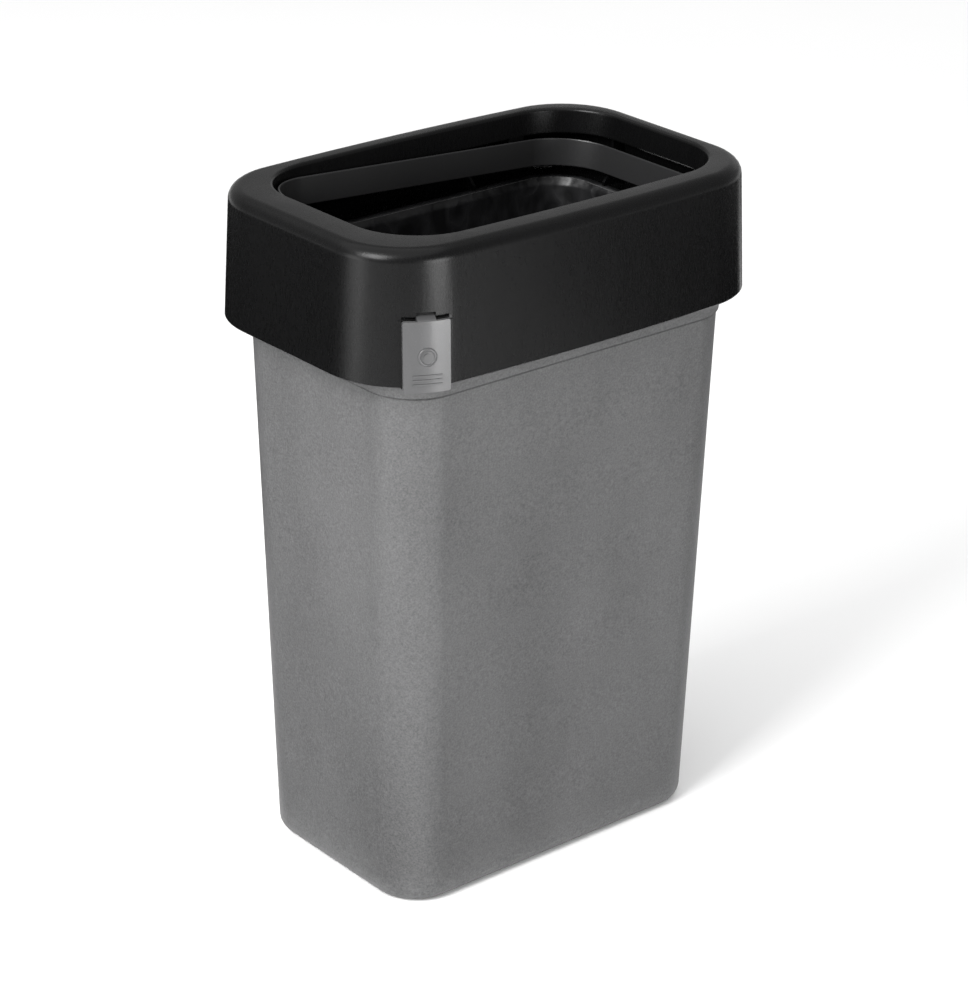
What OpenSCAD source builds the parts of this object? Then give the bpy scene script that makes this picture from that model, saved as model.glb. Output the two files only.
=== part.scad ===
// Open-top waste bin: a drafted rectangular container, a black collar that drops over its rim
// and hides the bag's cuff, a hinged bag ring in the collar's mouth, and two clips on the collar.
// Origin at the centre of the base on the floor. +X runs along the long side, +Z is up.

/* [Container] */
// Height from the floor to the top of the collar
bin_h = 500; // [430:5:600]
// Length of the base at floor level
base_l = 280; // [235:1:340]
// Width of the base at floor level
base_w = 175; // [145:1:215]
// Corner radius of the container's walls
base_r = 35; // [28:1:42]
// Outward lean of the walls, in mm of offset per mm of height
draft = 0.024; // [0.018:0.001:0.03]
// Thickness of the container's walls
wall = 2.4; // [1.8:0.1:3]
// Radius of the rounded edge around the base
edge_r = 10; // [8:0.5:12]
// Height of the foot band under the floor panel
foot_h = 2.5; // [1.5:0.5:4]
// Thickness of the floor panel
floor_t = 3; // [2.4:0.1:4]
// Reach of the flange below the collar, from the wall
flange_out = 7.2; // [6:0.1:9]
// Height of the cove under the flange
cove_h = 14; // [11:0.5:17]
// Crease where the cove leaves the wall
crease = 1.6; // [1.2:0.1:2]
// Reach of the rim bead at the top of the wall
rim_out = 3.2; // [2.6:0.1:3.8]

/* [Collar] */
// Height of the collar
collar_h = 92.5; // [84:0.5:112]
// Reach of the collar past the flange on the short sides
end_overhang = 18; // [15:0.5:22]
// Reach of the collar past the flange on the long sides
side_overhang = 7.5; // [7:0.5:12]
// Corner radius of the collar at its bottom edge
collar_r = 62; // [56:0.5:74.5]
// Inward lean of the collar's skirt, in mm of offset per mm of height
collar_lean = 0.048; // [0.04:0.002:0.056]
// Thickness of the collar's skirt and lip
collar_t = 3; // [2.4:0.1:3.4]
// Bow of the collar's long sides
crown = 3; // [0:0.5:4]
// Radius of the rounded outer shoulder
shoulder_r = 9; // [7:0.5:11]
// Mean width of the lip on the short sides
lip_end = 22.5; // [21:0.5:27]
// Mean width of the lip on the long sides
lip_side = 19.5; // [18.5:0.5:23.5]
// Offset of the mouth towards the right-hand end
mouth_x = 7; // [0:0.5:8]
// Offset of the mouth towards the back
mouth_y = 3; // [0:0.5:4]
// Corner radius of the mouth
mouth_r = 50; // [42:1:60]
// Depth of the throat under the lip
throat_h = 18.5; // [15.5:0.5:22]
// Inward slope of the throat over its depth
throat_in = 1.7; // [1:0.1:2.2]
// Depth of the container's rim under the top of the collar
rim_drop = 54; // [52:1:60]
// Thickness of the bearing ribs behind the skirt
rib_t = 2.4; // [2:0.1:3]

/* [Bag ring] */
// Height of the ring
ring_h = 20; // [17:0.5:23]
// Thickness of the ring
ring_t = 2; // [1.6:0.1:2.4]
// How much tighter the ring's corners are than the mouth's
ring_tighter = 10; // [9:0.5:14]
// Room between the ring and the throat
ring_gap = 2.5; // [2.1:0.1:3]
// Slope at which the ring lies, free end up
ring_tilt = 3.6; // [0:0.1:4.3]
// Depth of the ring's hinge under the top of the collar
ring_drop = 30; // [29:0.5:34]
// Distance of the ring's hinge from its right-hand end
ring_arm = 50; // [44:1:60]
// Radius of the ring's hinge pins
pin_r = 2.5; // [2.1:0.1:3]

/* [Clips] */
// Width of a clip
clip_w = 32; // [26.5:0.5:38.5]
// Height of a clip from its toe to its shoulder
clip_h = 48.5; // [40:0.5:59]
// Thickness of a clip
clip_t = 2.6; // [2.2:0.1:3.1]
// Plan angle of a clip about the corner's centre
clip_turn = 65.5; // [62:0.5:68]
// Reach of a clip below the collar's bottom edge
clip_drop = 2.5; // [2.1:0.1:3]
// Radius of the hinge bar across the slot
bar_r = 1.6; // [1.4:0.1:1.8]
// Width of the tongue that hooks over the hinge bar
tongue_w = 12.5; // [10.5:0.5:15]
// Radius of the round thumb mark
thumb_r = 6.5; // [5.5:0.5:7.5]

/* [Waste bag] */
// Thickness that stands for the film
bag_t = 0.5; // [0.4:0.1:0.6]

/* [Hidden] */

$fn = 48;
CORNER_STEPS = 14;
SIDE_STEPS = 8;
film_gap = 0.3;     // room for the film between the rim and the collar's ribs
bag_gap = 0.8;      // bag to container wall
skirt_gap = 1;      // clip in front of the collar's skirt
toe_gap = 0.5;      // toe to the edge of the flange
toe_drop = 1;       // toe below the collar's bottom edge
groove = 0.8;       // groove in the wall under the cove
thumb_bead = 1.1;   // radius of the thumb mark's bead
hinge_gap = 0.05;   // hook on the hinge bar
slot_gap = 0.4;     // slot around the clip, the bar and the tongue

// Levels, from the floor up
collar_z = bin_h - collar_h;
crease_z = collar_z - cove_h;
rim_z = bin_h - rim_drop;
throat_z = bin_h - throat_h;
ring_axis_z = bin_h - ring_drop;
floor_z = foot_h + floor_t;
shoulder_z = bin_h - shoulder_r;
inner_r = edge_r - wall;

// Half sizes of the collar and of what it surrounds
collar_hl = base_l / 2 + draft * collar_z + flange_out + end_overhang;
collar_hw = base_w / 2 + draft * collar_z + flange_out + side_overhang;
collar_in = collar_lean * (bin_h - collar_z);
mouth_hl = collar_hl - collar_in - lip_end;
mouth_hw = collar_hw - collar_in - lip_side;
mouth_bow = crown * 0.6;
ring_hl = mouth_hl - throat_in - ring_gap;
ring_hw = mouth_hw - throat_in - ring_gap;
ring_r = mouth_r - ring_tighter;
ring_axis_x = mouth_x + ring_hl - ring_arm;
ear_r = pin_r + hinge_gap + 4;

// The clip's own frame: X runs outward from the corner's centre, Y along the hinge bar
corner_x = collar_hl - collar_r;
corner_y = collar_hw - collar_r;
toe_z = collar_z - clip_drop;
clip_top = toe_z + clip_h;
hook_r = bar_r + hinge_gap + 1.95;
slot_hw = clip_w / 2;
bar_z = clip_top - 0.8;
slot_end_r = skirt_r(bar_z) - collar_t / 2;
bar_x = sqrt(pow(slot_end_r, 2) - pow(slot_hw + 1, 2));
bar_l = clip_w + 5;
notch_top = bar_z + hook_r + 2;
slot_top = bar_z + bar_r + 1.5;
slot_low = bar_z - bar_r - 1;
thumb_z = toe_z + clip_h / 2;

// Outer radius of the collar's corner at height z
function skirt_r(z) = collar_r - collar_lean * (z - collar_z);

// Closed outline of a rounded rectangle with bowed long sides, at height z
function corner_arc(q, cx, cy, r, z) =
    [for (k = [0:CORNER_STEPS])
        let (a = 90 * (q + k / CORNER_STEPS))
        [cx + r * cos(a), cy + r * sin(a), z]];

function long_side(side, cx, hw, z, bow) =
    [for (k = [1:SIDE_STEPS - 1])
        let (x = cx * (1 - 2 * k / SIDE_STEPS))
        [side * x, side * (hw + bow * (1 - pow(x / cx, 2))), z]];

function outline(hl, hw, r, z, bow = 0) =
    let (cx = hl - r, cy = hw - r)
    concat(
        corner_arc(0, cx, cy, r, z), long_side(1, cx, hw, z, bow),
        corner_arc(1, -cx, cy, r, z),
        corner_arc(2, -cx, -cy, r, z), long_side(-1, cx, hw, z, bow),
        corner_arc(3, cx, -cy, r, z));

// Outlines offset from each piece's own surface
function body_at(off, z) =
    outline(base_l / 2 + draft * z + off, base_w / 2 + draft * z + off, base_r + off, z);
function skirt_at(off, z) =
    let (lean = off - collar_lean * (z - collar_z))
    outline(collar_hl + lean, collar_hw + lean, collar_r + lean, z, crown);
function mouth_at(off, z) =
    [for (p = outline(mouth_hl + off, mouth_hw + off, mouth_r + off, z, mouth_bow))
        p + [mouth_x, mouth_y, 0]];
function ring_at(off, z) = outline(ring_hl + off, ring_hw + off, ring_r + off, z);

// Solid skinned over a stack of outlines: outer ones upwards, then inner ones downwards
module skin(rings, looped) {
    n = len(rings[0]);
    m = len(rings);
    sides = [for (k = [0:looped ? m - 1 : m - 2], i = [0:n - 1])
        let (j = (i + 1) % n, up = (k + 1) % m)
        [k * n + i, up * n + i, up * n + j, k * n + j]];
    caps = looped ? [] : [[for (i = [0:n - 1]) i], [for (i = [n - 1:-1:0]) (m - 1) * n + i]];
    polyhedron([for (ring = rings) each ring], concat(sides, caps), convexity = 6);
}

// Puts a child drawn in the clip's own frame at the front or the rear clip's corner
module at_clip(front) {
    rotate([0, 0, front ? 180 : 0])
        translate([corner_x, corner_y, 0])
            rotate([0, 0, clip_turn]) children();
}

module at_each_clip() {
    at_clip(true) children();
    at_clip(false) children();
}

// Plain box given by its three spans
module span_box(x, y, z) {
    translate([x[0], y[0], z[0]]) cube([x[1] - x[0], y[1] - y[0], z[1] - z[0]]);
}

// Section in the clip's own frame (outward, up), drawn out across a width
module across(width) {
    translate([0, width / 2, 0]) rotate([90, 0, 0]) linear_extrude(width) children();
}

module container() {
    foot = [body_at(-edge_r - 12, foot_h), body_at(-edge_r - 6, foot_h), body_at(-edge_r - 5, 0)];
    base_edge = [for (a = [0:15:90]) body_at(edge_r * (sin(a) - 1), edge_r * (1 - cos(a)))];
    wall_top = [body_at(0, crease_z - 1.8), body_at(-groove, crease_z - 0.8)];
    cove = [for (a = [0:15:75])
        body_at(crease + (flange_out - crease) * (1 - cos(a)) / (1 - cos(75)),
            crease_z + 0.3 + (cove_h - 1.7) * sin(a) / sin(75))];
    flange = [body_at(flange_out, collar_z), body_at(0, collar_z + 0.6)];
    rim = [body_at(0, rim_z - 6), body_at(rim_out, rim_z - 4.5), body_at(rim_out, rim_z - 0.8),
        body_at(rim_out - 0.8, rim_z), body_at(-wall + 0.8, rim_z), body_at(-wall, rim_z - 0.8)];
    inner_edge = [for (a = [90:-15:0])
        body_at(-wall + inner_r * (sin(a) - 1), floor_z + inner_r * (1 - cos(a)))];
    color("#7c7c7e") skin(concat(
        foot, base_edge, wall_top, cove, flange, rim, inner_edge), false);
}

// One upright rib from the skirt over the container's rim; the collar rests on eight of these
module bearing_rib(reach, near) {
    foot = rim_z + film_gap;
    step_back = 8;
    across(rib_t) polygon([
        [near, foot], [reach - collar_lean * (foot - collar_z) - collar_t / 2, foot],
        [reach - collar_in - collar_t / 2, shoulder_z], [near + step_back, shoulder_z],
        [near + step_back, foot + step_back + 3], [near, foot + 3]]);
}

module bearing_ribs() {
    rim_hl = base_l / 2 + draft * rim_z - wall / 2;
    rim_hw = base_w / 2 + draft * rim_z - wall / 2;
    end_y = collar_hw - collar_r - 2;
    side_x = (collar_hl - collar_r) * 0.6;
    side_bow = crown * (1 - pow(0.6, 2));
    for (turn = [0, 180]) rotate([0, 0, turn]) {
        for (y = [-end_y, end_y]) translate([0, y, 0]) bearing_rib(collar_hl, rim_hl);
        for (x = [-side_x, side_x]) translate([x, 0, 0]) rotate([0, 0, 90])
            bearing_rib(collar_hw + side_bow, rim_hw);
    }
}

module collar_shell() {
    skirt = [skirt_at(-0.8, collar_z), skirt_at(0, collar_z + 0.8)];
    shoulder = [for (a = [0:15:90])
        skirt_at(shoulder_r * (cos(a) - 1), shoulder_z + shoulder_r * sin(a))];
    mouth = [mouth_at(2.4, bin_h), mouth_at(1.1, bin_h - 0.4), mouth_at(0.3, bin_h - 1.2),
        mouth_at(0, bin_h - 2.4)];
    throat = [mouth_at(-throat_in, throat_z + 1), mouth_at(0.7 - throat_in, throat_z),
        mouth_at(collar_t - throat_in, throat_z), mouth_at(collar_t, bin_h - 5),
        mouth_at(collar_t + 1, bin_h - collar_t)];
    inner_shoulder = [for (a = [90:-15:0])
        skirt_at(-collar_t + (shoulder_r - collar_t) * (cos(a) - 1),
            shoulder_z + (shoulder_r - collar_t) * sin(a))];
    skin(concat(skirt, shoulder, mouth, throat, inner_shoulder,
        [skirt_at(-collar_t, collar_z)]), true);
}

// Two ears under the throat, bored for the ring's hinge pins
module ring_ears() {
    near = mouth_hw - throat_in;
    for (side = [-1, 1])
        translate([ring_axis_x, mouth_y + side * (near + collar_t / 2), 0]) difference() {
            across(collar_t - 0.4) union() {
                translate([0, ring_axis_z]) circle(ear_r);
                translate([-ear_r, ring_axis_z])
                    square([2 * ear_r, throat_z + 1 - ring_axis_z]);
            }
            translate([0, collar_t, ring_axis_z]) rotate([90, 0, 0])
                cylinder(h = 2 * collar_t, r = pin_r + hinge_gap);
        }
}

// Slot for a clip's hook, with the taller notch that the tongue turns in
module hinge_slot() {
    reach = [bar_x - hook_r - 2, collar_r + 4];
    span_box(reach, [-slot_hw, slot_hw], [slot_low, slot_top]);
    span_box(reach, [-tongue_w / 2 - slot_gap, tongue_w / 2 + slot_gap],
        [bar_z - hook_r - slot_gap, notch_top]);
}

module hinge_bar() {
    translate([bar_x, bar_l / 2, bar_z]) rotate([90, 0, 0]) cylinder(h = bar_l, r = bar_r);
    for (side = [-1, 1]) span_box([bar_x - bar_r - 2, bar_x],
        side > 0 ? [slot_hw, slot_hw + 3] : [-slot_hw - 3, -slot_hw], [slot_low, slot_top]);
}

module collar() {
    color("#1b1b1d") {
        difference() {
            collar_shell();
            at_each_clip() hinge_slot();
        }
        at_each_clip() hinge_bar();
        bearing_ribs();
        ring_ears();
    }
}

// Drawn level about its hinge, then laid at its slope
module bag_ring() {
    top = ring_h / 2;
    outside = [ring_at(-0.8, -top), ring_at(-0.4, 0.8 - top), ring_at(0, top - 0.8)];
    inside = [ring_at(-0.5, top), ring_at(0.5 - ring_t, top), ring_at(-ring_t, top - 0.8),
        ring_at(-ring_t - 0.8, 0.8 - top), ring_at(-ring_t - 0.4, -top)];
    pin_l = ring_gap + collar_t - 0.6;
    color("#161618") translate([ring_axis_x, mouth_y, ring_axis_z]) rotate([0, ring_tilt, 0]) {
        translate([ring_arm - ring_hl, 0, 0]) skin(concat(outside, inside), true);
        for (side = [-1, 1]) translate([0, side * (ring_hw + (pin_l - 1) / 2), 0])
            rotate([90, 0, 0]) cylinder(h = pin_l + 1, r = pin_r, center = true);
    }
}

// Section of the curved plate and the toe under the collar, about the corner's centre
module plate_section() {
    near = skirt_gap;
    far = skirt_gap + clip_t;
    toe_top = collar_z - toe_drop;
    polygon([
        [skirt_r(toe_z) - 22, toe_z], [skirt_r(toe_z) + far, toe_z],
        [skirt_r(clip_top) + far, clip_top], [skirt_r(clip_top) + near, clip_top],
        [skirt_r(toe_top) + near, toe_top], [skirt_r(toe_z) - 22, toe_top]]);
}

// Front view of a clip: a rectangle with rounded corners
module clip_face(r = 1.5) {
    translate([-slot_hw + r, toe_z]) square([clip_w - 2 * r, clip_h]);
    translate([-slot_hw, toe_z + r]) square([clip_w, clip_h - 2 * r]);
    for (x = [-1, 1], z = [toe_z + r, clip_top - r]) translate([x * (slot_hw - r), z]) circle(r);
}

module clip_plate() {
    spread = 2 * asin(slot_hw / (skirt_r(clip_top) + skirt_gap)) + 6;
    intersection() {
        rotate([0, 0, -spread / 2]) rotate_extrude(angle = spread, $fn = 96) plate_section();
        rotate([90, 0, 90]) linear_extrude(collar_r + 20) clip_face();
    }
}

// Hook that snaps over the hinge bar, and the tongue that joins it to the plate
module clip_hook() {
    out_x = skirt_r(clip_top) + skirt_gap;
    difference() {
        across(tongue_w) difference() {
            union() {
                translate([bar_x, bar_z]) circle(hook_r);
                polygon([
                    [bar_x + 0.9, bar_z + hook_r - 0.1], [out_x + 0.9, clip_top + 0.9],
                    [out_x + clip_t - 0.3, clip_top - 0.2], [out_x + clip_t - 0.3, clip_top - 4],
                    [out_x + 0.5, clip_top - 4.5], [bar_x + 1.5, bar_z - hook_r + 0.4]]);
            }
            translate([bar_x - hook_r - 1, bar_z - 1.2]) square([hook_r + 1, 2.4]);
        }
        translate([bar_x, tongue_w / 2 + 1, bar_z]) rotate([90, 0, 0])
            cylinder(h = tongue_w + 2, r = bar_r + hinge_gap);
    }
}

// Raised bead around a plain button, where the thumb pulls
module thumb_mark() {
    face = skirt_r(thumb_z) + skirt_gap + clip_t;
    translate([face, 0, thumb_z]) rotate([0, 90, 0]) {
        translate([0, 0, -0.3]) rotate_extrude() translate([thumb_r - thumb_bead, 0])
            circle(thumb_bead);
        translate([0, 0, -1]) cylinder(h = 1.5, r = thumb_r - 3.6 * thumb_bead);
    }
}

// Low ribs across the foot of the plate, one every rib_pitch
module grip_ribs() {
    rib_pitch = 3;
    intersection() {
        for (k = [1:3]) {
            z = toe_z + 2 + k * rib_pitch;
            rotate([0, 0, -10]) rotate_extrude(angle = 20, $fn = 96)
                translate([skirt_r(z) + skirt_gap + clip_t - 0.8, z]) square([1.3, 1.2]);
        }
        span_box([0, collar_r + 20], [-clip_w / 3.2, clip_w / 3.2], [toe_z, thumb_z]);
    }
}

// Outline of the flange's edge with the toe's clearance around it, cut from the toe
module flange_block() {
    hl = base_l / 2 + draft * collar_z + flange_out + toe_gap;
    hw = base_w / 2 + draft * collar_z + flange_out + toe_gap;
    r = base_r + flange_out + toe_gap;
    translate([0, 0, toe_z - 1]) linear_extrude(clip_drop + 1) {
        square([2 * hl, 2 * (hw - r)], center = true);
        square([2 * (hl - r), 2 * hw], center = true);
        for (x = [-1, 1], y = [-1, 1]) translate([x * (hl - r), y * (hw - r)]) circle(r);
    }
}

module clip(front) {
    color("#808082") difference() {
        at_clip(front) {
            clip_plate();
            clip_hook();
            thumb_mark();
            grip_ribs();
        }
        flange_block();
    }
}

module clip_front() {
    clip(true);
}

module clip_rear() {
    clip(false);
}

module waste_bag() {
    top = rim_z - 5;
    gap = wall + bag_gap;
    low = floor_z + bag_gap;
    outer = [for (a = [0:15:90])
        body_at(-gap + inner_r * (sin(a) - 1), low + inner_r * (1 - cos(a)))];
    inner = [for (a = [90:-15:0])
        body_at(-gap - bag_t + inner_r * (sin(a) - 1), low + bag_t + inner_r * (1 - cos(a)))];
    color("#0e0e10") skin(concat(
        outer, [body_at(-gap, top), body_at(-gap - bag_t, top)], inner), false);
}

container();
collar();
bag_ring();
clip_front();
clip_rear();
waste_bag();
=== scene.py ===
"""Open-top waste bin: finishes, bag liner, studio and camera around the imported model.

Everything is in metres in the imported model's own frame: +Z up, +X along the long side.
"""

import logging
import math
from collections.abc import Iterable
from dataclasses import dataclass
from enum import Enum

import bmesh
import bpy
from mathutils import Matrix, Vector, noise


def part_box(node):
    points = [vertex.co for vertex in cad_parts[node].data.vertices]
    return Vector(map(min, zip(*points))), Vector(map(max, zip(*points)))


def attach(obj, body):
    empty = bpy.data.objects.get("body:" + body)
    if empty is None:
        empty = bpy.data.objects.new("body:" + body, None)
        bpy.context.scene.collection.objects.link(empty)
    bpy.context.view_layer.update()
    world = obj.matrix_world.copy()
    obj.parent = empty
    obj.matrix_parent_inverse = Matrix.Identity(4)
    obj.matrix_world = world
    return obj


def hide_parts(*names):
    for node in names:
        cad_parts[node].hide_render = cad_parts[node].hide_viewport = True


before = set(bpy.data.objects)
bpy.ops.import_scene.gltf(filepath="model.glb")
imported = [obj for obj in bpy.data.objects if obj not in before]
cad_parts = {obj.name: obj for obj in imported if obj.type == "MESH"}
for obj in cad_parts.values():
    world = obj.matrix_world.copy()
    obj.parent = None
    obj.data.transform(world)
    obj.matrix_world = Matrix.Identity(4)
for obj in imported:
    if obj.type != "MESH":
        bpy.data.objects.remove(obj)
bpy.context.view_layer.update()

log = logging.getLogger("waste_bin")

Colour = tuple[float, float, float]
Point2 = tuple[float, float]
Point3 = tuple[float, float, float]

JOIN_DISTANCE = 0.000012
FLAT_DEG = 1.2


class Body(Enum):
    """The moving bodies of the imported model."""

    BIN = "bin"
    COLLAR = "collar"
    RING = "ring"
    CLIP_FRONT = "clip_front"
    CLIP_REAR = "clip_rear"


class Direction(Enum):
    """How the grain of a plastic runs."""

    EVEN = (1.0, 1.0, 1.0)
    DRAWN = (1.0, 1.0, 0.22)


# Shader building


class Value:
    """A shader value that Python's operators combine through Math nodes."""

    def __init__(self, recipe: "Recipe", socket: bpy.types.NodeSocket) -> None:
        """Wraps one output socket.

        Args:
            recipe: the material that the socket belongs to.
            socket: the output socket.
        """
        self.recipe = recipe
        self.socket = socket

    def _maths(self, operation: str, *terms: "Value | float") -> "Value":
        """Adds one Math node.

        Args:
            operation: the Math node's operation.
            terms: its values in order.

        Returns:
            The node's result.
        """
        return self.recipe.add("ShaderNodeMath", {"operation": operation}, dict(enumerate(terms)))

    def __add__(self, other: "Value | float") -> "Value":
        """Sum."""
        return self._maths("ADD", self, other)

    def __radd__(self, other: float) -> "Value":
        """Sum with a number in front."""
        return self._maths("ADD", other, self)

    def __sub__(self, other: "Value | float") -> "Value":
        """Difference."""
        return self._maths("SUBTRACT", self, other)

    def __rsub__(self, other: float) -> "Value":
        """Difference from a number."""
        return self._maths("SUBTRACT", other, self)

    def __mul__(self, other: "Value | float") -> "Value":
        """Product."""
        return self._maths("MULTIPLY", self, other)

    def __pow__(self, other: float) -> "Value":
        """Power."""
        return self._maths("POWER", self, other)

    def clamped(self) -> "Value":
        """The value kept between 0 and 1."""
        return self._maths("MINIMUM", self._maths("MAXIMUM", self, 0.0), 1.0)


class Recipe:
    """One material under construction, with its Principled shader."""

    def __init__(self, name: str) -> None:
        """Starts an empty material.

        Args:
            name: the material's name.
        """
        self.material = bpy.data.materials.new(name)
        self.material.use_nodes = True
        self.tree = self.material.node_tree
        self.tree.nodes.clear()
        self.shader = self.tree.nodes.new("ShaderNodeBsdfPrincipled")
        output = self.tree.nodes.new("ShaderNodeOutputMaterial")
        self.tree.links.new(self.shader.outputs[0], output.inputs[0])

    def add(
        self,
        kind: str,
        settings: dict | None = None,
        values: dict | None = None,
        output: int | str = 0,
    ) -> Value:
        """Adds any node.

        Args:
            kind: the node's type.
            settings: its own settings, set before its sockets.
            values: numbers, colours or wrapped values by socket name or place.
            output: the output to use.

        Returns:
            The chosen output, wrapped.
        """
        node = self.tree.nodes.new(kind)
        for key, setting in (settings or {}).items():
            setattr(node, key, setting)
        for key, value in (values or {}).items():
            self.feed(node.inputs[key], value)
        return Value(self, node.outputs[output])

    def feed(self, socket: bpy.types.NodeSocket, value: "Value | float | tuple") -> None:
        """Links or sets one input socket.

        Args:
            socket: the input.
            value: a wrapped value, a number or a tuple.
        """
        if isinstance(value, Value):
            self.tree.links.new(value.socket, socket)
        else:
            socket.default_value = value

    def set(self, name: str, value: "Value | float | tuple") -> None:
        """Links or sets one input of the Principled shader.

        Args:
            name: the input's name.
            value: a wrapped value, a number or a tuple.
        """
        self.feed(self.shader.inputs[name], value)

    def place(self, stretch: Point3 = (1.0, 1.0, 1.0)) -> Value:
        """Object coordinates, stretched along the axes.

        Args:
            stretch: the scale along X, Y and Z; below 1 draws a pattern out.

        Returns:
            The coordinates.
        """
        coordinates = self.add("ShaderNodeTexCoord", output="Object")
        return self.add("ShaderNodeMapping", None, {"Vector": coordinates, "Scale": stretch})

    def noise(self, place: Value, pitch: float, detail: float = 2.0, rough: float = 0.5) -> Value:
        """Noise between 0 and 1.

        Args:
            place: the coordinates.
            pitch: the size of one patch in metres.
            detail: octaves.
            rough: strength of each finer octave.

        Returns:
            The noise.
        """
        return self.add(
            "ShaderNodeTexNoise",
            None,
            {"Vector": place, "Scale": 1 / pitch, "Detail": detail, "Roughness": rough},
        )

    def height(self) -> Value:
        """Height above the floor in metres."""
        return self.add("ShaderNodeSeparateXYZ", None, {0: self.place()}, output="Z")

    def mixed(self, share: Value, first: Value | tuple, second: Value | tuple) -> Value:
        """Colour between two colours.

        Args:
            share: 0 for the first colour, 1 for the second.
            first: linear colour with alpha.
            second: linear colour with alpha.

        Returns:
            The mixed colour.
        """
        sockets = {"Factor": share, 6: first, 7: second}
        return self.add("ShaderNodeMix", {"data_type": "RGBA"}, sockets, output=2)

    def tinted(self, shade: Value, colour: Colour, darkest: float, lightest: float) -> Value:
        """A colour in darker and lighter shades.

        Args:
            shade: 0 for the darkest shade, 1 for the lightest.
            colour: linear colour.
            darkest: share of the colour in the darkest shade.
            lightest: share of the colour in the lightest shade.

        Returns:
            The shaded colour.
        """
        dark, light = (tuple(c * part for c in colour) for part in (darkest, lightest))
        return self.mixed(shade, (*dark, 1.0), (*light, 1.0))

    def bump(self, height: Value, depth: float, base: Value | None = None) -> Value:
        """A bumped normal.

        Args:
            height: the relief between 0 and 1.
            depth: its depth in metres.
            base: a normal to add it to.

        Returns:
            The normal.
        """
        values = {"Height": height, "Distance": depth, "Strength": 1.0}
        if base is not None:
            values["Normal"] = base
        return self.add("ShaderNodeBump", None, values)


@dataclass(frozen=True)
class MouldedPlastic:
    """Injection-moulded plastic with a fine grain from its mould."""

    name: str
    colour: Colour
    roughness: float
    specular: float = 0.5
    grain: float = 0.0014
    grain_depth: float = 0.00018
    speckle: float = 0.38
    mottle: float = 0.05
    scuffs: float = 0.0
    scuff_height: float = 0.035
    direction: Direction = Direction.EVEN

    def material(self) -> bpy.types.Material:
        """Builds the material: grain, speckle, slow mottling and scuffs low down.

        Returns:
            The material.
        """
        recipe = Recipe(self.name)
        place = recipe.place(self.direction.value)
        grain = recipe.noise(place, self.grain, detail=3.0, rough=0.65)
        pores = recipe.noise(place, self.grain * 2.7, detail=2.0)
        flow = recipe.noise(recipe.place((1.0, 1.0, 0.45)), 0.11, detail=3.0)
        shade = (0.5 + (grain - 0.5) * 1.6 + (pores - 0.5) * 0.35 + (flow - 0.5) * 0.8).clamped()
        swing = self.speckle + self.mottle
        colour = recipe.tinted(shade, self.colour, 1 - swing, 1 + swing)
        rough = self.roughness + (flow - 0.5) * 0.10 + (grain - 0.5) * 0.12
        if self.scuffs:
            low = (1 - recipe.height() * (1 / self.scuff_height)).clamped()
            rubbed = recipe.noise(recipe.place((1.0, 1.0, 4.0)), 0.012, detail=4.0, rough=0.7)
            worn = (low * ((rubbed - 0.52) * 9.0).clamped() * self.scuffs).clamped()
            pale = tuple(c * 1.5 + 0.02 for c in self.colour)
            colour = recipe.mixed(worn, colour, (*pale, 1.0))
            rough = rough + worn * 0.2
        recipe.set("Base Color", colour)
        recipe.set("Roughness", rough.clamped())
        recipe.set("Specular IOR Level", self.specular)
        relief = recipe.bump(grain + pores * 0.6, self.grain_depth)
        recipe.set("Normal", recipe.bump(flow, 0.0009, relief))
        recipe.material.diffuse_color = (*self.colour, 1.0)
        return recipe.material


@dataclass(frozen=True)
class BagFilm:
    """Thin black polythene film, crinkled."""

    name: str = "bag_film"
    colour: Colour = (0.006, 0.006, 0.0065)
    roughness: float = 0.36
    specular: float = 0.36
    darkest: float = 0.7
    lightest: float = 1.6

    def material(self) -> bpy.types.Material:
        """Builds the film: fine crinkles over soft folds, duller where it has creased.

        Returns:
            The material.
        """
        recipe = Recipe(self.name)
        crinkle = recipe.noise(recipe.place((1.0, 1.0, 0.6)), 0.022, detail=2.0, rough=0.45)
        creases = (1 - (((crinkle - 0.5) * (crinkle - 0.5)) ** 0.5) * 7.0).clamped()
        folds = recipe.noise(recipe.place((1.0, 1.0, 0.35)), 0.04, detail=2.0)
        tint = recipe.tinted(creases, self.colour, self.darkest, self.lightest)
        recipe.set("Base Color", tint)
        recipe.set("Roughness", (self.roughness + creases * 0.14).clamped())
        recipe.set("Specular IOR Level", self.specular)
        soft = recipe.bump(folds, 0.003)
        recipe.set("Normal", recipe.bump(creases, 0.0006, soft))
        recipe.material.diffuse_color = (*self.colour, 1.0)
        return recipe.material


# Mesh helpers


def finished_object(
    name: str, shape: bmesh.types.BMesh, material: bpy.types.Material
) -> bpy.types.Object:
    """Turns a bmesh into an object at the origin.

    Args:
        name: the object's name.
        shape: its mesh, freed here.
        material: its finish.

    Returns:
        The new object.
    """
    mesh = bpy.data.meshes.new(name)
    shape.to_mesh(mesh)
    shape.free()
    mesh.materials.append(material)
    piece = bpy.data.objects.new(name, mesh)
    bpy.context.scene.collection.objects.link(piece)
    return piece


def merged_copy(node: str) -> bmesh.types.BMesh:
    """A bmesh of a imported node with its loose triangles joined.

    Args:
        node: the node's name.

    Returns:
        The joined mesh.
    """
    shape = bmesh.new()
    shape.from_mesh(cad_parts[node].data)
    bmesh.ops.remove_doubles(shape, verts=shape.verts, dist=JOIN_DISTANCE)
    return shape


def smooth_faces(shape: bmesh.types.BMesh, sharp_deg: float) -> None:
    """Smooths all faces but keeps edges sharper than an angle.

    Args:
        shape: the mesh.
        sharp_deg: edges that turn more than this stay sharp.
    """
    for face in shape.faces:
        face.smooth = True
    for edge in shape.edges:
        edge.smooth = edge.calc_face_angle(math.pi) < math.radians(sharp_deg)


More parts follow.
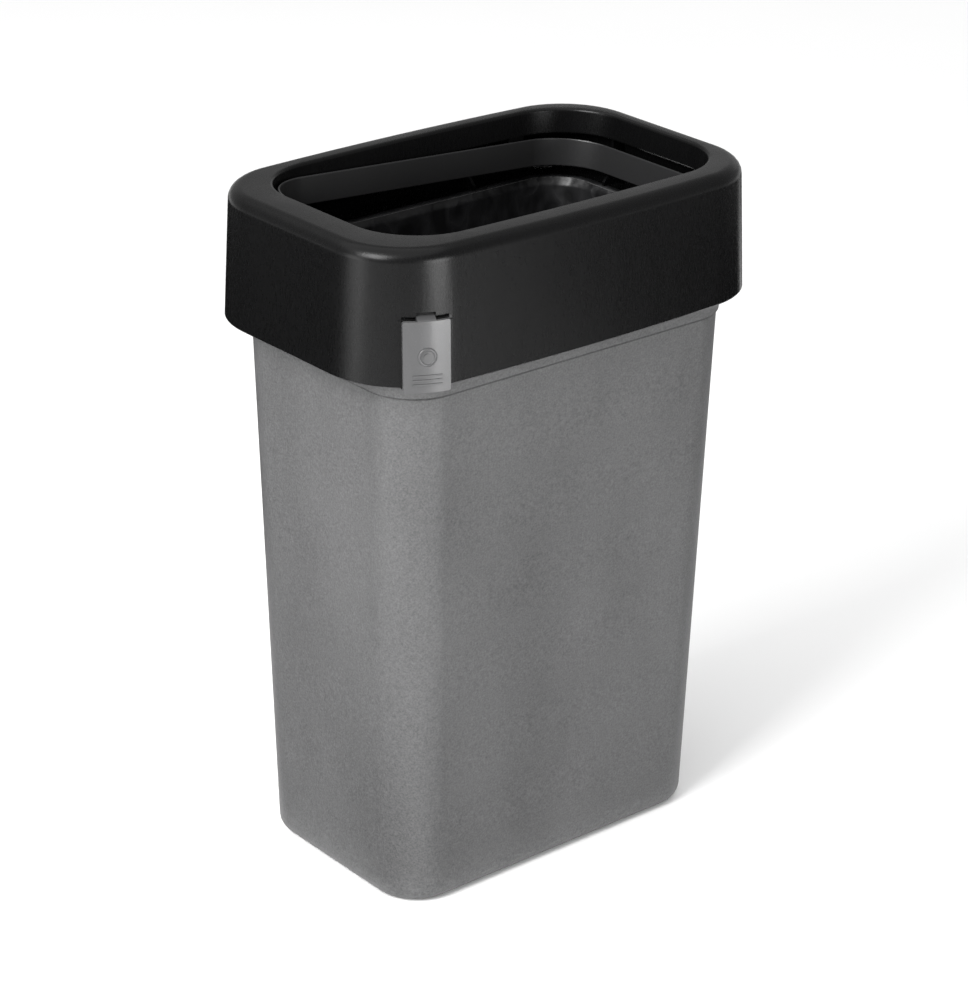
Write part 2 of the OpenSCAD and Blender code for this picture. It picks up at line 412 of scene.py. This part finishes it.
def weigh_normals(piece: bpy.types.Object) -> None:
    """Keeps large flat faces flat beside small rounded ones.

    Args:
        piece: the object to give the modifier to.
    """
    weighted = piece.modifiers.new("even_shading", "WEIGHTED_NORMAL")
    weighted.keep_sharp = True
    weighted.weight = 90


@dataclass(frozen=True)
class Moulding:
    """One moulded part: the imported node's own shape, smoothed, with softened edges."""

    node: str
    body: Body
    finish: MouldedPlastic
    sharp_deg: float = 34.0
    edge: float = 0.0
    edge_steps: int = 2

    def build(self) -> bpy.types.Object:
        """Makes the smoothed piece and puts it in the node's place.

        Returns:
            The piece.
        """
        shape = merged_copy(self.node)
        if self.edge:
            bmesh.ops.dissolve_limit(
                shape, angle_limit=math.radians(FLAT_DEG), verts=shape.verts, edges=shape.edges
            )
        smooth_faces(shape, self.sharp_deg)
        piece = finished_object(f"{self.node}_moulding", shape, self.finish.material())
        if self.edge:
            soften = piece.modifiers.new("soft_edges", "BEVEL")
            soften.width = self.edge
            soften.segments = self.edge_steps
            soften.limit_method = "ANGLE"
            soften.angle_limit = math.radians(self.sharp_deg)
        weigh_normals(piece)
        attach(piece, self.body.value)
        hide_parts(self.node)
        return piece


@dataclass(frozen=True)
class Container:
    """The tall drafted container."""

    colour: Colour = (0.08, 0.08, 0.081)

    def build(self) -> list[bpy.types.Object]:
        """Makes the container.

        Returns:
            Its one piece.
        """
        finish = MouldedPlastic(
            "container_grey", self.colour, roughness=0.48, specular=0.34, scuffs=0.35
        )
        shell = Moulding("container", Body.BIN, finish, sharp_deg=24.0).build()
        return [shell]


@dataclass(frozen=True)
class Collar:
    """The black collar that drops over the container's rim."""

    colour: Colour = (0.0025, 0.0025, 0.0026)

    def build(self) -> list[bpy.types.Object]:
        """Makes the collar.

        Returns:
            Its one piece.
        """
        finish = MouldedPlastic(
            "collar_black",
            self.colour,
            roughness=0.28,
            specular=0.17,
            grain=0.0012,
            grain_depth=0.00004,
            speckle=0.12,
            direction=Direction.DRAWN,
        )
        collar = Moulding("collar", Body.COLLAR, finish, sharp_deg=40.0).build()
        return [collar]


@dataclass(frozen=True)
class BagRing:
    """The hinged ring in the collar's mouth."""

    colour: Colour = (0.016, 0.016, 0.0164)

    def build(self) -> list[bpy.types.Object]:
        """Makes the ring.

        Returns:
            Its one piece.
        """
        finish = MouldedPlastic(
            "ring_black",
            self.colour,
            roughness=0.36,
            specular=0.45,
            grain=0.0009,
            grain_depth=0.00003,
            speckle=0.12,
        )
        ring = Moulding("bag_ring", Body.RING, finish, sharp_deg=40.0).build()
        return [ring]


@dataclass(frozen=True)
class SwingClips:
    """The two swing clips on opposite corners."""

    colour: Colour = (0.055, 0.055, 0.0562)
    edge: float = 0.0004

    def build(self) -> list[bpy.types.Object]:
        """Makes both clips.

        Returns:
            The two pieces.
        """
        made = []
        for body in (Body.CLIP_FRONT, Body.CLIP_REAR):
            finish = MouldedPlastic(
                f"{body.value}_grey",
                self.colour,
                roughness=0.25,
                specular=0.5,
                grain=0.0007,
                grain_depth=0.00002,
                speckle=0.05,
            )
            clip = Moulding(body.value, body, finish, sharp_deg=35.0, edge=self.edge).build()
            made.append(clip)
        return made


# Section of the cuff as (outward, down from the rim's top): first over the inner edge of the
# rim, measured from the container's inner wall, then outside it, measured from the rim's bead
CUFF_INSIDE: tuple[Point2, ...] = ((-0.0004, 0.0026), (0.0002, 0.0006), (0.0007, -0.0001))
CUFF_OUTSIDE: tuple[Point2, ...] = (
    (-0.0007, -0.0001),
    (0.0004, 0.0009),
    (0.0007, 0.0055),
    (0.0012, 0.012),
    (0.0017, 0.019),
    (0.0020, 0.026),
)


@dataclass
class BagLiner:
    """The film bag that hangs in the container, with its cuff turned over the rim."""

    wall: float = 0.0024
    slack: float = 0.0008
    lean: float = 0.024
    corner: float = 0.0318
    base_corner: float = 0.0076
    mesh_pitch: float = 0.006
    film: float = 0.00012
    fold: float = 0.006
    drape: float = 1.3
    crease: float = 0.35
    wrinkle: float = 0.0007
    floor_ripple: float = 0.004
    cuff_lift: float = 0.0052
    bead: float = 0.0032
    cuff_loose: float = 0.0012
    hem_wave: float = 0.004
    tube_width: float = 1.0
    tube_length: float = 0.6

    def __post_init__(self) -> None:
        """Takes the bag's place from its stand-in and sets the rim's height a little above the
        bag's top.
        """
        low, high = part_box("waste_bag")
        self.floor, self.top = low.z, high.z
        self.half = Vector((high.x, high.y))
        self.rim = self.top + self.cuff_lift - 0.0002

    def half_at(self, z: float) -> Vector:
        """Half sizes of the bag at a height.

        Args:
            z: the height.

        Returns:
            Half the length and half the width.
        """
        give = self.lean * (z - self.top)
        return Vector((self.half.x + give, self.half.y + give))

    def outward(self, point: Vector) -> Vector:
        """Level direction out of the bag's rounded outline.

        Args:
            point: a point on or near the wall.

        Returns:
            A level vector of length 1, or 0 well inside the base.
        """
        half = self.half_at(point.z)
        over = Vector(
            (
                max(abs(point.x) - (half.x - self.corner), 0.0),
                max(abs(point.y) - (half.y - self.corner), 0.0),
                0.0,
            )
        )
        if over.length < 1e-9:
            return Vector((0.0, 0.0, 0.0))
        over.normalize()
        return Vector((math.copysign(over.x, point.x), math.copysign(over.y, point.y), 0.0))

    def sack(self) -> bmesh.types.BMesh:
        """An open box with rounded corners, cut into small faces.

        Returns:
            The mesh, open at the top.
        """
        shape = bmesh.new()
        bmesh.ops.create_cube(shape, size=1.0)
        size = Vector((2 * self.half.x, 2 * self.half.y, self.top - self.floor))
        bmesh.ops.scale(shape, vec=size, verts=shape.verts)
        bmesh.ops.translate(
            shape, vec=Vector((0.0, 0.0, (self.top + self.floor) / 2)), verts=shape.verts
        )
        lid = [f for f in shape.faces if f.normal.z > 0.9]
        bmesh.ops.delete(shape, geom=lid, context="FACES_ONLY")
        upright = [
            e for e in shape.edges if abs((e.verts[0].co - e.verts[1].co).normalized().z) > 0.9
        ]
        bmesh.ops.bevel(
            shape,
            geom=upright,
            offset=self.corner,
            affect="EDGES",
            segments=10,
            profile=0.5,
            material=-1,
        )
        foot = [
            e
            for e in shape.edges
            if len(e.link_faces) == 2 and all(v.co.z < self.floor + 1e-6 for v in e.verts)
        ]
        bmesh.ops.bevel(
            shape,
            geom=foot,
            offset=self.base_corner,
            affect="EDGES",
            segments=3,
            profile=0.5,
            material=-1,
        )
        self.slice(shape, 2, self.floor + 0.01, self.top - 0.002)
        self.slice(shape, 0, self.corner - self.half.x, self.half.x - self.corner)
        self.slice(shape, 1, self.corner - self.half.y, self.half.y - self.corner)
        for vert in shape.verts:
            give = self.half_at(vert.co.z).x - self.half.x
            vert.co += self.outward_level(vert.co) * give
        return shape

    def outward_level(self, point: Vector) -> Vector:
        """Direction out of the untapered box's outline.

        Args:
            point: a point on or near its wall.

        Returns:
            A level vector of length 1, or 0 well inside the base.
        """
        return self.outward(Vector((point.x, point.y, self.top)))

    def slice(self, shape: bmesh.types.BMesh, axis: int, start: float, stop: float) -> None:
        """Cuts the mesh with evenly spaced planes.

        Args:
            shape: the mesh.
            axis: 0, 1 or 2.
            start: first plane.
            stop: last plane.
        """
        count = round((stop - start) / self.mesh_pitch)
        normal = Vector((0.0, 0.0, 0.0))
        normal[axis] = 1.0
        for k in range(count + 1):
            bmesh.ops.bisect_plane(
                shape,
                geom=[*shape.verts, *shape.edges, *shape.faces],
                dist=1e-6,
                plane_co=normal * (start + (stop - start) * k / count),
                plane_no=normal,
            )

    def crumple(self, shape: bmesh.types.BMesh) -> None:
        """Hangs the film in long folds with smaller creases, always inwards from the wall.

        Args:
            shape: the sack, changed in place.
        """
        for vert in shape.verts:
            point = vert.co.copy()
            down = min(max((self.top - point.z) / 0.11, 0.0), 1.0)
            up = min(max((point.z - self.floor) / 0.05, 0.0), 1.0)
            long = noise.noise(Vector((point.x * 24, point.y * 24, point.z * 3.2)))
            slanted = noise.noise(
                Vector((point.x * 46 + point.z * 9, point.y * 46, point.z * 12 + 7.3))
            )
            small = noise.noise(Vector((point.x * 105, point.y * 105, point.z * 60 + 3.1)))
            drape = (0.5 + 0.5 * long) ** 1.6 * (0.25 + 0.75 * down) * up
            crease = abs(slanted) * self.crease * (0.3 + 0.7 * down)
            inward = self.fold * (self.drape * drape + crease) + self.wrinkle * (1 + small)
            out = self.outward(point)
            vert.co -= out * inward
            if out.length < 0.5 or point.z < self.floor + 0.004:
                ripple = abs(noise.noise(Vector((point.x * 30, point.y * 30, 1.7))))
                vert.co.z += self.floor_ripple * ripple + 0.0006 * (1 + small)

    def turn_over_rim(self, shape: bmesh.types.BMesh) -> None:
        """Carries the top edge over the container's rim and down outside it.

        Args:
            shape: the crumpled sack, changed in place.
        """
        outside = self.slack + self.wall + self.bead
        path = [(self.slack + out, self.rim - down) for out, down in CUFF_INSIDE]
        path += [(outside + out, self.rim - down) for out, down in CUFF_OUTSIDE]
        ring = [e for e in shape.edges if e.is_boundary]
        home = {vert: self.on_outline(vert.co) for vert in {v for e in ring for v in e.verts}}
        for step, (reach, height) in enumerate(path):
            made = bmesh.ops.extrude_edge_only(shape, edges=ring)["geom"]
            new_verts = [g for g in made if isinstance(g, bmesh.types.BMVert)]
            ring = [g for g in made if isinstance(g, bmesh.types.BMEdge) and g.is_boundary]
            loose = max(step - 4, 0) / 4
            give = self.lean * (height - self.top)
            following = {}
            for vert in new_verts:
                across = [e.other_vert(vert) for e in vert.link_edges]
                place, out = home[next(v for v in across if v in home)]
                sway = noise.noise(Vector((place.x * 40, place.y * 40, step * 0.6)))
                hem = noise.noise(Vector((place.x * 16, place.y * 16, 5.0)))
                vert.co = place + out * (reach + give + self.cuff_loose * loose * (0.6 + sway))
                vert.co.z = height + self.hem_wave * hem * loose
                following[vert] = (place, out)
            home = following

    def on_outline(self, point: Vector) -> tuple[Vector, Vector]:
        """The nearest place on the bag's outline at its top.

        Args:
            point: a point near the top edge.

        Returns:
            The place at height 0, and the level direction outward there.
        """
        half = self.half
        out = self.outward(Vector((point.x, point.y, self.top)))
        if abs(out.x) > 0.999:
            return Vector((math.copysign(half.x, point.x), point.y, 0.0)), out
        if abs(out.y) > 0.999:
            return Vector((point.x, math.copysign(half.y, point.y), 0.0)), out
        middle_x = math.copysign(half.x - self.corner, point.x)
        middle_y = math.copysign(half.y - self.corner, point.y)
        return Vector((middle_x, middle_y, 0.0)) + out * self.corner, out

    def build(self) -> list[bpy.types.Object]:
        """Makes the liner, gives the film its thickness and hangs it from the bin.

        Returns:
            Its one piece.
        """
        shape = self.sack()
        self.crumple(shape)
        self.turn_over_rim(shape)
        bmesh.ops.recalc_face_normals(shape, faces=shape.faces)
        for face in shape.faces:
            face.smooth = True
        liner = finished_object("bag_liner", shape, BagFilm().material())
        thicken = liner.modifiers.new("film", "SOLIDIFY")
        thicken.thickness = self.film
        thicken.offset = 0.0
        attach(liner, Body.BIN.value)
        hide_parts("waste_bag")
        return [liner]


# Studio


@dataclass(frozen=True)
class SoftBox:
    """One rectangular soft light."""

    name: str
    place: Point3
    width: float
    height: float
    power: float
    aim: Point3 = (0.0, 0.0, 0.35)

    def build(self) -> bpy.types.Object:
        """Hangs the light and turns it to its aim.

        Returns:
            The light object.
        """
        lamp = bpy.data.lights.new(self.name, "AREA")
        lamp.shape = "RECTANGLE"
        lamp.size, lamp.size_y = self.width, self.height
        lamp.energy = self.power
        light = bpy.data.objects.new(self.name, lamp)
        bpy.context.scene.collection.objects.link(light)
        light.rotation_mode = "QUATERNION"
        light.location = self.place
        light.visible_camera = False
        throw = Vector(self.aim) - Vector(self.place)
        light.rotation_quaternion = throw.to_track_quat("-Z", "Y")
        return light


@dataclass(frozen=True)
class DarkCard:
    """A level black card that only reflections see, so dark plastic keeps its depth."""

    name: str
    low: Point2
    high: Point2
    lift: float = 0.004

    def build(self) -> bpy.types.Object:
        """Lays the card just over the floor.

        Returns:
            The card.
        """
        shape = bmesh.new()
        (west, south), (east, north) = self.low, self.high
        corners = [(west, south), (east, south), (east, north), (west, north)]
        shape.faces.new([shape.verts.new((x, y, self.lift)) for x, y in corners])
        recipe = Recipe(self.name)
        recipe.set("Base Color", (0.004, 0.004, 0.004, 1.0))
        recipe.set("Roughness", 1.0)
        recipe.set("Specular IOR Level", 0.0)
        card = finished_object(self.name, shape, recipe.material)
        card.visible_camera = card.visible_diffuse = card.visible_shadow = False
        card.visible_transmission = card.visible_volume_scatter = False
        return card


SOFT_BOXES = (
    SoftBox("left_box", (-1.7, 0.31, 0.42), 0.7, 0.8, 8.4),
    SoftBox("front_box", (0.06, -1.7, 0.42), 0.78, 0.8, 21.5),
    SoftBox("high_left_box", (-1.9, -0.3, 1.7), 1.1, 1.1, 72.0),
    SoftBox("back_strip", (2.45, 1.7, 1.15), 2.4, 0.5, 1.3),
)
DARK_CARDS = (
    DarkCard("left_card", (-2.2, 0.3), (-0.6, 2.2)),
    DarkCard("back_card", (-0.6, 0.5), (2.2, 2.2)),
    DarkCard("right_card", (0.85, -2.0), (2.2, 0.3)),
    DarkCard("front_card", (-0.13, -0.78), (0.85, -0.1)),
    DarkCard("left_low_card", (-0.4, -0.12), (-0.15, 0.6)),
)


@dataclass(frozen=True)
class Studio:
    """Pale floor, even air, a wide ceiling light, soft boxes and dark cards."""

    floor_half: float = 14.0
    sky: float = 0.4
    backdrop: float = 0.94
    ceiling: float = 1.8
    ceiling_deg: float = 90.0
    ceiling_throw: Point3 = (0.28, -0.04, -1.0)
    floor_tone: float = 0.88
    floor_swing: float = 0.02

    def floor(self) -> bpy.types.Object:
        """Lays the floor.

        Returns:
            The floor.
        """
        shape = bmesh.new()
        bmesh.ops.create_grid(shape, x_segments=1, y_segments=1, size=self.floor_half)
        recipe = Recipe("pale_floor")
        tone = recipe.noise(recipe.place(), 0.6, detail=2.0)
        swing = self.floor_swing / self.floor_tone
        grey = (self.floor_tone,) * 3
        recipe.set("Base Color", recipe.tinted(tone, grey, 1 - swing, 1 + swing))
        recipe.set("Roughness", 0.9)
        recipe.set("Specular IOR Level", 0.1)
        floor = finished_object("floor", shape, recipe.material)
        return floor

    def air(self) -> None:
        """Sets the even light all round, which looks pale to the camera."""
        world = bpy.data.worlds.new("studio_air")
        world.use_nodes = True
        background = world.node_tree.nodes["Background"]
        background.inputs["Color"].default_value = (1.0, 1.0, 1.0, 1.0)
        nodes, links = world.node_tree.nodes, world.node_tree.links
        rays = nodes.new("ShaderNodeLightPath")
        strength = nodes.new("ShaderNodeMapRange")
        strength.inputs["To Min"].default_value = self.sky
        strength.inputs["To Max"].default_value = self.backdrop
        links.new(rays.outputs["Is Camera Ray"], strength.inputs["Value"])
        links.new(strength.outputs["Result"], background.inputs["Strength"])
        bpy.context.scene.world = world

    def overhead(self) -> None:
        """Hangs the wide ceiling light, a little to the left of the camera."""
        lamp = bpy.data.lights.new("ceiling", "SUN")
        lamp.energy = self.ceiling
        lamp.angle = math.radians(self.ceiling_deg)
        light = bpy.data.objects.new("ceiling", lamp)
        bpy.context.scene.collection.objects.link(light)
        light.rotation_mode = "QUATERNION"
        light.location = Vector((-0.6, -0.5, 3.0))
        light.rotation_quaternion = Vector(self.ceiling_throw).to_track_quat("-Z", "Y")

    def build(self) -> None:
        """Builds the floor, the air, the lights and the cards."""
        self.floor()
        self.air()
        self.overhead()
        for item in (*SOFT_BOXES, *DARK_CARDS):
            item.build()
        bpy.context.scene.view_settings.view_transform = "Standard"
        bpy.context.scene.view_settings.look = "None"


@dataclass(frozen=True)
class ViewPoint:
    """The camera."""

    azimuth_deg: float = -39.73
    elevation_deg: float = 24.0
    distance: float = 2.25195
    roll: float = 0.0114
    offset: Point2 = (-0.0005, 0.00175)
    lens: float = 112.56
    target_height: float = 0.25

    def build(self) -> bpy.types.Object:
        """Makes the camera and sets it as the scene's.

        Returns:
            The camera object.
        """
        azimuth, elevation = math.radians(self.azimuth_deg), math.radians(self.elevation_deg)
        back = Vector(
            (
                math.sin(azimuth) * math.cos(elevation),
                -math.cos(azimuth) * math.cos(elevation),
                math.sin(elevation),
            )
        )
        level = Vector((0.0, 0.0, 1.0)).cross(back).normalized()
        rise = back.cross(level)
        right = math.cos(self.roll) * level + math.sin(self.roll) * rise
        up = math.cos(self.roll) * rise - math.sin(self.roll) * level
        lens = bpy.data.cameras.new("viewpoint")
        lens.lens = self.lens
        lens.sensor_width = 36.0
        lens.clip_start, lens.clip_end = 0.1, 60.0
        camera = bpy.data.objects.new("viewpoint", lens)
        bpy.context.scene.collection.objects.link(camera)
        place = (
            Vector((0.0, 0.0, self.target_height))
            + right * self.offset[0]
            + up * self.offset[1]
            + back * self.distance
        )
        turn = Matrix((right, up, back)).transposed()
        camera.matrix_world = Matrix.Translation(place) @ turn.to_4x4()
        bpy.context.scene.camera = camera
        return camera


def report(pieces: Iterable[bpy.types.Object]) -> None:
    """Logs each piece and its face count.

    Args:
        pieces: the pieces of one part.
    """
    for piece in pieces:
        log.info("%s: %d faces", piece.name, len(piece.data.polygons))


def main() -> None:
    """Builds the camera, the studio and every piece in order."""
    logging.basicConfig(level=logging.INFO, format="%(name)s %(message)s")
    ViewPoint().build()
    Studio().build()
    for part in (Container(), BagLiner(), Collar(), BagRing(), SwingClips()):
        report(part.build())


if __name__ == "__main__":
    main()
